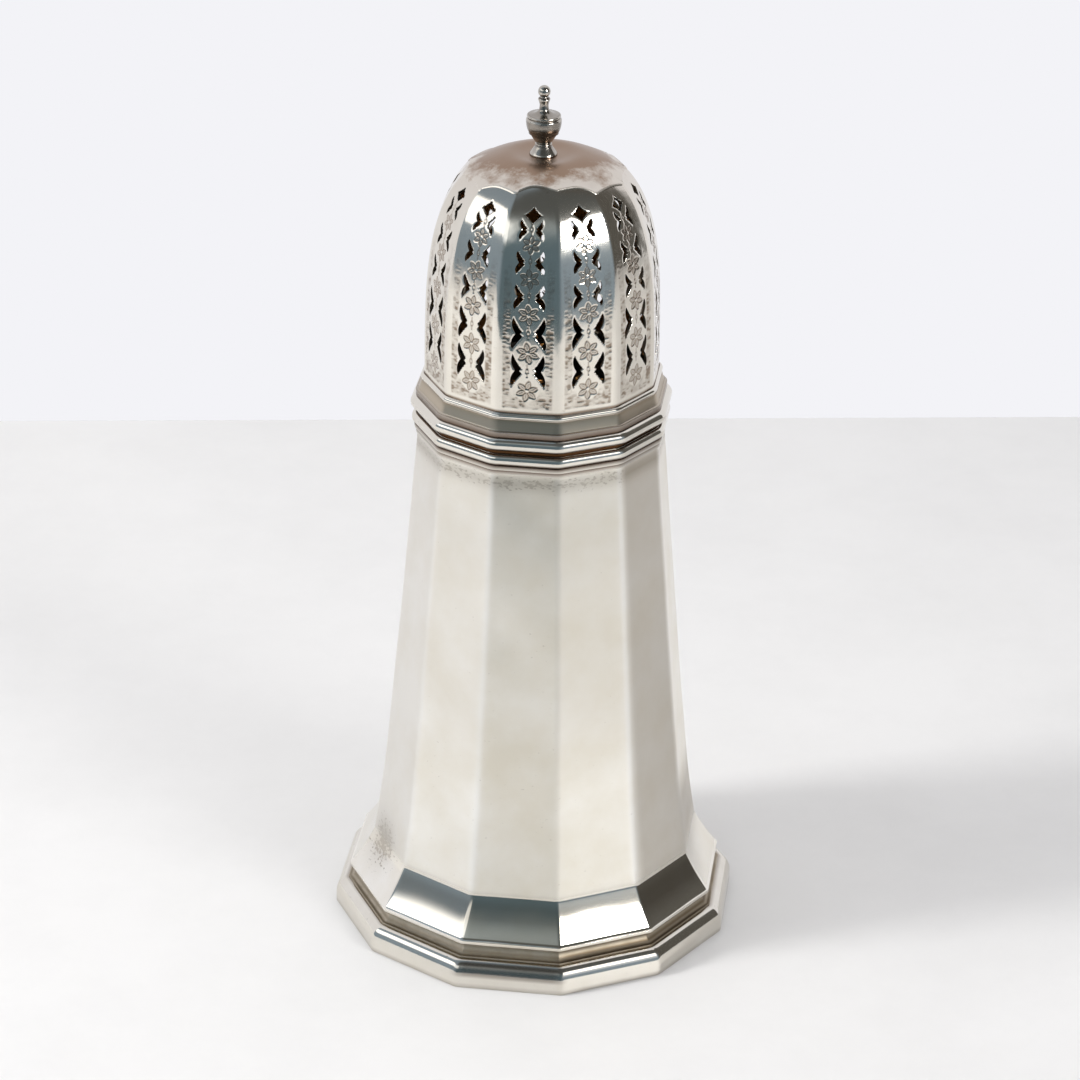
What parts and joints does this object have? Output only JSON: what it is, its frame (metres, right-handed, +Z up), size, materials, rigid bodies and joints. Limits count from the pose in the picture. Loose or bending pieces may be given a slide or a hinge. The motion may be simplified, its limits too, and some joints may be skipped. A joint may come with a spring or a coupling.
{
  "type": "sugar caster",
  "caption": "Panelled lighthouse sugar caster in silver: tapered body on a stepped foot, with a pierced lift-off domed cover and an urn finial.",
  "frame": {"origin": "on the axis, on the table plane under the foot rim", "axes": "+Z up along the axis to the finial, -Y out of the panel that faces the front"},
  "size_m": [0.0772, 0.0772, 0.1702],
  "materials": {
    "satin_silver": "worn satin polish on panels of sheet silver",
    "polished_silver": "bright polish on drawn silver mouldings",
    "tarnished_silver": "brown tarnish in the hollows",
    "inside_silver": "dull unpolished inside",
    "pierced_silver": "polished, pierced and engraved, with tarnish in the cuts",
    "cast_silver": "cast, lightly tarnished"
  },
  "bodies": {
    "caster_body": {"body_shell": "satin_silver", "foot_rim": "polished_silver", "foot_cove": "tarnished_silver", "base_plate": "inside_silver", "neck_moulding": "polished_silver"},
    "cover": {"cover_dome": "pierced_silver", "cover_moulding": "polished_silver", "cover_sleeve": "inside_silver", "finial": "cast_silver", "finial_nut": "inside_silver"}
  },
  "joints": [
    {"name": "cover_lift", "type": "slide", "parent": "caster_body", "child": "cover", "axis": [0, 0, 1], "range_m": [0, 0.07]}
  ]
}
